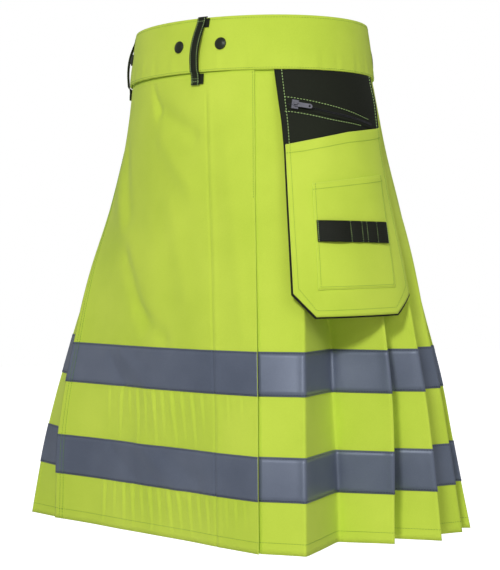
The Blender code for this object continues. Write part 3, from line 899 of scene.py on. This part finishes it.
def loop_at(angle, across, height, out, lean):
    base = ring(angle, 0.0)
    n2 = outward(angle, 0.0)
    away = np.array((n2[0], n2[1], 0.0))
    side = np.array((-n2[1], n2[0], 0.0))
    here = ring(angle, min(height, BAND_TOP))
    if height < BAND_LOW and abs(angle) < 60:
        here = front((angle - APRON_ANGLES[0]) / (APRON_ANGLES[1] - APRON_ANGLES[0]), height)
    reach = float((here - base) @ away) + out
    slide = lean * ease(height, -20.0, 34.0)
    p = np.array((base[0], base[1], 0.0)) + away * reach + side * (across + slide)
    return np.array((p[0], p[1], height))


def belt_loops():
    line = [np.array((*row, 0.0)) for row in LOOP_LINE]
    line = rounded(rounded(line, 4.0), 2.0)
    line = spread(line, spread_counts([line], 2.5))
    for tag, angle, lean in LOOP_ANGLES:
        grids = []
        for half in (-0.6, 0.6):
            grid = []
            for p in moved(line, half):
                row = []
                for across in (-6.0, -5.4, -3.5, 0.0, 3.5, 5.4, 6.0):
                    crown = 0.0 if abs(across) > 5.9 else (0.12 if half < 0 else 0.0)
                    row.append(loop_at(angle, across, p[1], p[0] + crown, lean))
                grid.append(row)
            grids.append(grid)
        loop = settle(shell(f"loop_{tag}", *grids, WEBBING), "black_canvas", f"belt_loop_{tag}")
        lines = []
        for across in (-4.4, 4.4):
            lines.append([loop_at(angle, across, p[1], p[0] + 0.22, lean) for p in moved(line, -0.6)[6:]])
        for height, out in ((28.0, 3.5), (-43.0, 3.1), (-39.5, 3.3)):
            lines.append([loop_at(angle, a, height, out, lean) for a in np.linspace(-4.6, 4.6, 8)])
        beads(f"loop_stitches_{tag}", lines, PALE_THREAD, step=2.6, length=1.7, width=0.75)
        slip = 5.0 if lean > 0 else -4.0
        ends = []
        for low, top, bottom in ((1.35, -34.0, -46.0), (1.5, 31.0, 20.5)):
            rows = [top + (bottom - top) * t for t in (0, 0.04, 0.5, 0.96, 1)]
            across = [slip + k for k in (-6, -5.4, 0, 5.4, 6)]
            grid = []
            for up in (-0.2, 0.5):
                grid.append([[loop_at(angle, a, z, low + up, lean) for a in across] for z in rows])
            ends.append(shell(f"loop_end_{tag}_{len(ends)}", *grid, WEBBING))
        for end in ends:
            settle(end, "black_canvas")


def pocket_point(side, angle, z, out):
    shift = 0.0 if side > 0 else RIGHT_POCKET_SHIFT
    hang = 3.0 + 14.0 * flare(z, 1) - 2.7 * (1 - ease(-z, 33, 70))
    p = wavered(ring(angle + shift, z, hang + out))
    return np.array((side * p[0], p[1], p[2]))


def pocket_place(side, edges, top, bottom, share, t, out):
    z = read(top, share, 1) + t * (read(bottom, share, 1) - read(top, share, 1))
    angle = read(edges, z, 1) + share * (read(edges, z, 2) - read(edges, z, 1))
    return pocket_point(side, angle, z, out)


def pocket_shell(name, side, edges, top, bottom, shares, steps, low, high, finish, relief=None):
    relief = relief or (lambda s, t: 0.0)

    def rows(out):
        grid = []
        for t in steps:
            grid.append([pocket_place(side, edges, top, bottom, s, t, out + relief(s, t)) for s in shares])
        return grid

    return shell(name, rows(low), rows(high), finish)


def pocket_line(side, edges, top, bottom, marks, out, relief=None):
    """Stitch line through marks of share and depth on a pocket piece."""
    line = []
    for (s1, t1), (s2, t2) in zip(marks, marks[1:]):
        for k in np.linspace(0.0, 1.0, 40):
            s, t = s1 + (s2 - s1) * k, t1 + (t2 - t1) * k
            line.append(pocket_place(side, edges, top, bottom, s, t, out + (relief(s, t) if relief else 0.0)))
    return line


def front_relief(s, t):
    """The pocket front swells in its middle and its top hem is thicker."""
    swell = 1.6 * math.sin(math.pi * min(max(s, 0), 1)) ** 0.8 * math.sin(math.pi * min(max(t, 0), 1)) ** 0.8
    hem = 0.45 if t < 0.065 else 0.0
    waves = 0.35 * math.sin(s * 21 + 1) * (1 - ease(t, 0.0, 0.3))
    waves += 0.3 * math.sin(s * 13 + t * 9) * math.sin(math.pi * t)
    corner = -0.9 * math.exp(-(((s - 0.19) / 0.035) ** 2) - (((t - 0.93) / 0.1) ** 2))
    pucker = 0.5 * math.exp(-(((s - 0.24 - (t - 0.9) * 0.5) / 0.03) ** 2))
    pucker = pucker * ease(t, 0.84, 0.9) * (1 - ease(t, 0.95, 1))
    return swell * 0.8 + hem + waves * ease(s, 0.0, 0.08) * (1 - ease(s, 0.92, 1.0)) + corner + pucker


def on_front(s, t):
    """Swell of the pocket front below a place on the patch pocket."""
    return 1.25 * math.sin(math.pi * (0.2 + 0.72 * s)) ** 0.8 * math.sin(math.pi * (0.27 + 0.62 * t)) ** 0.8


def patch_relief(s, t):
    hem = 0.35 if t < 0.065 else 0.0
    swell = 0.8 * math.sin(math.pi * s) ** 0.7 * math.sin(math.pi * min(t + 0.12, 1.0)) ** 0.7
    waves = 0.25 * math.sin(s * 17 + 2) * (1 - ease(t, 0.0, 0.25)) * math.sin(math.pi * s)
    return on_front(s, t) + hem + swell + waves


def tool_bulge(share):
    for (a, b), height in zip(zip(TOOL_STITCHES, TOOL_STITCHES[1:]), TOOL_BULGES):
        if a < share < b:
            return height * math.sin(math.pi * (share - a) / (b - a)) ** 0.7
    return 0.0


def band_relief(s, t):
    depth = 0.32 + 0.2 * t
    return patch_relief(s, depth) * 0.93 + tool_bulge(s) + 0.12


def pockets():
    for side, tag in ((1, "left"), (-1, "right")):
        top = ((0.0, -32.3), (1.0, -32.3))
        fine = sorted({0.0, 0.14, 0.80, 1.0} | set(np.linspace(0, 1, 50).round(3)))
        steps = np.linspace(0, 1, 60)
        form = (side, BACKING_EDGES, top, BACKING_BOTTOM, fine, steps)
        backing = pocket_shell(f"pocket_canvas_{tag}", *form, -0.4, 0.5, CANVAS)
        settle(backing, "black_canvas", f"pocket_backing_{tag}")
        form = (side, FRONT_EDGES, FRONT_TOP, FRONT_BOTTOM, fine, steps)
        face = pocket_shell(f"pocket_face_{tag}", *form, 0.9, 1.6, HIVIS, front_relief)
        settle(face, "hi_vis_cloth", f"pocket_front_{tag}")
        wide = np.linspace(0, 1, 44)
        form = (side, PATCH_ANGLES, PATCH_TOP, PATCH_BOTTOM, wide, np.linspace(0, 1, 40))
        patch = pocket_shell(f"patch_cloth_{tag}", *form, 1.9, 2.6, HIVIS, patch_relief)
        settle(patch, "hi_vis_cloth", f"patch_pocket_{tag}")
        band = ((0.0, TOOL_TOP), (1.0, TOOL_TOP - 1.0)), ((0.0, TOOL_BOTTOM), (1.0, TOOL_BOTTOM - 1.0))
        wide = sorted(set(TOOL_STITCHES) | set(np.linspace(0.02, 0.95, 140).round(4)))
        form = (side, PATCH_ANGLES, *band, wide, np.linspace(0, 1, 9))
        elastic = pocket_shell(f"elastic_band_{tag}", *form, 2.75, 3.65, ELASTIC, band_relief)
        settle(elastic, "black_elastic", f"tool_loops_{tag}")
        lines = []
        for t in np.linspace(0.07, 0.93, 11):
            lines.append(pocket_line(side, PATCH_ANGLES, *band, ((0.025, t), (0.945, t)), 3.66, band_relief))
        beads(f"elastic_ribs_{tag}", lines, ELASTIC, step=1.9, length=2.3, width=0.85)
        lines = []
        for share in TOOL_STITCHES:
            s = min(max(share, 0.03), 0.94)
            lines.append(pocket_line(side, PATCH_ANGLES, *band, ((s, 0.05), (s, 0.95)), 3.9, band_relief))
        beads(f"elastic_stitches_{tag}", lines, PALE_THREAD, step=2.4, length=1.7, width=0.8)
        sew_pocket(side, tag, top)
        zip_fastener(side, tag)


def sew_pocket(side, tag, top):
    lines = [pocket_line(side, BACKING_EDGES, top, BACKING_BOTTOM, ((0.055, 0.005), (0.045, 0.32)), 0.6)]
    lines.append(pocket_line(side, BACKING_EDGES, top, BACKING_BOTTOM, ((0.955, 0.005), (0.955, 0.24)), 0.6))
    for raised in (8.6, -8.2):
        line = []
        for angle in np.linspace(62.2, 104.5 if raised > 0 else 98.0, 70):
            z = zip_height(angle) + raised * (1 - 0.35 * ease(angle, 80, 106))
            line.append(pocket_point(side, angle, z, 0.6))
        lines.append(line)
    beads(f"canvas_stitches_{tag}", lines, PALE_THREAD, step=3.6, length=2.5, width=1.0)
    marks = ((0.035, 0.01), (0.035, 0.93), (0.16, 0.965), (0.79, 0.965), (0.965, 0.93), (0.965, 0.01))
    lines = [pocket_line(side, FRONT_EDGES, FRONT_TOP, FRONT_BOTTOM, marks, 1.7, front_relief)]
    marks = ((0.01, 0.058), (0.99, 0.058))
    lines.append(pocket_line(side, FRONT_EDGES, FRONT_TOP, FRONT_BOTTOM, marks, 1.7, front_relief))
    marks = ((0.03, 0.01), (0.03, 0.975), (0.97, 0.975), (0.97, 0.01))
    lines.append(pocket_line(side, PATCH_ANGLES, PATCH_TOP, PATCH_BOTTOM, marks, 2.7, patch_relief))
    marks = ((0.01, 0.058), (0.99, 0.058))
    lines.append(pocket_line(side, PATCH_ANGLES, PATCH_TOP, PATCH_BOTTOM, marks, 2.7, patch_relief))
    # Beads of the lighter copy along the pocket edges: a painted highlight.
    edges = []
    marks = ((0.002, 0.99), (0.002, 0.002), (0.998, 0.002), (0.998, 0.99))
    edges.append(pocket_line(side, FRONT_EDGES, FRONT_TOP, FRONT_BOTTOM, marks, 1.3, front_relief))
    marks = ((0.998, 0.998), (0.002, 0.998), (0.002, 0.002), (0.998, 0.002), (0.998, 0.998))
    edges.append(pocket_line(side, PATCH_ANGLES, PATCH_TOP, PATCH_BOTTOM, marks, 2.3, patch_relief))
    beads(f"pocket_folded_edges_{tag}", edges, PAINTED_EDGE_HIGHLIGHT, step=1.9, length=3.0, width=1.0)
    beads(f"pocket_stitches_{tag}", lines, GREEN_THREAD, step=3.0, length=2.3, width=0.55)


def zip_height(angle):
    return sum(read(ZIP_LINE, angle + step, 1) for step in (-3.0, -1.5, 0.0, 1.5, 3.0)) / 5


def zip_fastener(side, tag):
    angles = np.linspace(ZIP_LINE[0][0], ZIP_LINE[-1][0], 60)
    near, far = (0.8, 1.5) if side > 0 else (-1.5, -0.8)
    rows = []
    for step in (5.0, 4.6, 1.2, -1.2, -4.6, -5.0):
        rows.append([pocket_point(side, a, zip_height(a) + step, 0.0) for a in angles])
    strip = shell(f"zip_strip_{tag}", [moved(r, near) for r in rows], [moved(r, far) for r in rows], CANVAS)
    settle(strip, "zip_coil", f"zip_{tag}")
    lines = [[pocket_point(side, a, zip_height(a) + k, 1.75) for a in angles] for k in (0.75, -0.75)]
    beads(f"zip_teeth_{tag}", lines, COIL, step=1.2, length=0.95, width=1.5, turn=0.35)


def lathe(name, centre, out, side, up, profile, finish, count=36):
    """A turned piece from a profile of radius and height."""
    points, faces = [], []
    for radius, height in profile:
        for k in range(count):
            t = 2 * math.pi * k / count
            points.append(centre + out * height + radius * (side * math.cos(t) + up * math.sin(t)))
    for r in range(len(profile) - 1):
        for k in range(count):
            j = (k + 1) % count
            faces.append((r * count + k, r * count + j, (r + 1) * count + j, (r + 1) * count + k))
    last = (len(profile) - 1) * count
    faces.append(tuple(range(count))[::-1])
    faces.append(tuple(last + k for k in range(count)))
    return add_mesh(name, points, faces, finish)


def snaps():
    profile = ((6.6, -0.4), (7.1, 0.0), (7.3, 0.5), (7.1, 1.0), (6.5, 1.35), (6.1, 1.4), (5.7, 1.7))
    profile += ((4.6, 2.15), (3.2, 2.5), (1.6, 2.7), (0.4, 2.75))
    for tag, angle in SNAP_ANGLES:
        n2 = outward(angle, 0.0)
        out = unit((n2[0], n2[1], 0.17))
        side = unit(np.cross((0, 0, 1.0), out))
        up = np.cross(out, side)
        cap = lathe(f"snap_cap_{tag}", ring(angle, 0.0, 1.5), out, side, up, profile, SNAP_METAL)
        settle(cap, "snap_metal", f"snap_{tag}")


def lights():
    world = bpy.data.worlds.new("studio")
    bpy.context.scene.world = world
    world.use_nodes = True
    tree = world.node_tree
    back = tree.nodes["Background"]
    back.inputs[0].default_value = (1, 1, 1, 1)
    back.inputs[1].default_value = 0.29
    seen = put(tree, "ShaderNodeBackground", Strength=1.0)
    seen.inputs[0].default_value = (1, 1, 1, 1)
    path = put(tree, "ShaderNodeLightPath")
    mix = put(tree, "ShaderNodeMixShader")
    tree.links.new(path.outputs["Is Camera Ray"], mix.inputs[0])
    tree.links.new(back.outputs[0], mix.inputs[1])
    tree.links.new(seen.outputs[0], mix.inputs[2])
    tree.links.new(mix.outputs[0], tree.nodes["World Output"].inputs[0])
    for name, place, size, power in (
        # name, place, size, power
        ("key_light", (1.9, -2.2, 1.2), 0.4, 44.0),
        ("side_light", (-2.6, -2.0, 0.6), 1.6, 3.0),
        ("top_light", (2.6, 0.2, 1.2), 1.0, 9.0),
    ):
        data = bpy.data.lights.new(name, "AREA")
        data.energy = power
        data.size = size
        lamp = bpy.data.objects.new(name, data)
        bpy.context.scene.collection.objects.link(lamp)
        lamp.location = place
        aim = Vector((0.05, -0.05, -0.25)) - Vector(place)
        lamp.rotation_euler = aim.to_track_quat("-Z", "Y").to_euler()


def floor():
    size = 9.0
    points = [(-size, -size, -0.98), (size, -size, -0.98), (size, size, -0.98), (-size, size, -0.98)]
    mesh = bpy.data.meshes.new("floor")
    mesh.from_pydata(points, [], [(0, 1, 2, 3)])
    obj = bpy.data.objects.new("floor", mesh)
    bpy.context.scene.collection.objects.link(obj)
    mat = bpy.data.materials.new("pale_floor")
    mat.use_nodes = True
    shader = mat.node_tree.nodes["Principled BSDF"]
    shader.inputs["Base Color"].default_value = (0.9, 0.9, 0.9, 1)
    shader.inputs["Roughness"].default_value = 0.9
    shader.inputs["Specular IOR Level"].default_value = 0.0
    shader.inputs["Emission Color"].default_value = (1, 1, 1, 1)
    path = put(mat.node_tree, "ShaderNodeLightPath")
    mat.node_tree.links.new(path.outputs["Is Camera Ray"], shader.inputs["Emission Strength"])
    mesh.materials.append(mat)


def camera():
    data = bpy.data.cameras.new("camera")
    data.lens = 105.03
    data.sensor_width = 36.0
    data.sensor_fit = "AUTO"
    data.clip_start = 0.05
    obj = bpy.data.objects.new("camera", data)
    bpy.context.scene.collection.objects.link(obj)
    right = Vector((0.5878, 0.8090, 0.0)).normalized()
    pitch = math.radians(0.59)
    level = Vector((-0.8090, 0.5878, 0.0)).normalized()
    ahead = level * math.cos(pitch) - Vector((0, 0, 1)) * math.sin(pitch)
    up = right.cross(ahead)
    turn = Matrix((right, up, -ahead)).transposed().to_4x4()
    obj.matrix_world = Matrix.Translation((1.6828, -1.2226, -0.261)) @ turn
    bpy.context.scene.camera = obj


def metal_parts():
    for side in ("left", "right"):
        for part in ("zip_slider", "zip_pull"):
            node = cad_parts[f"{part}_{side}"]
            node.data.materials.clear()
            node.data.materials.append(ZIP_METAL)


bpy.context.scene.view_settings.view_transform = "Standard"
camera()
lights()
floor()
waistband()
aprons()
sew_aprons()
pleats()
belt_loops()
pockets()
snaps()
metal_parts()
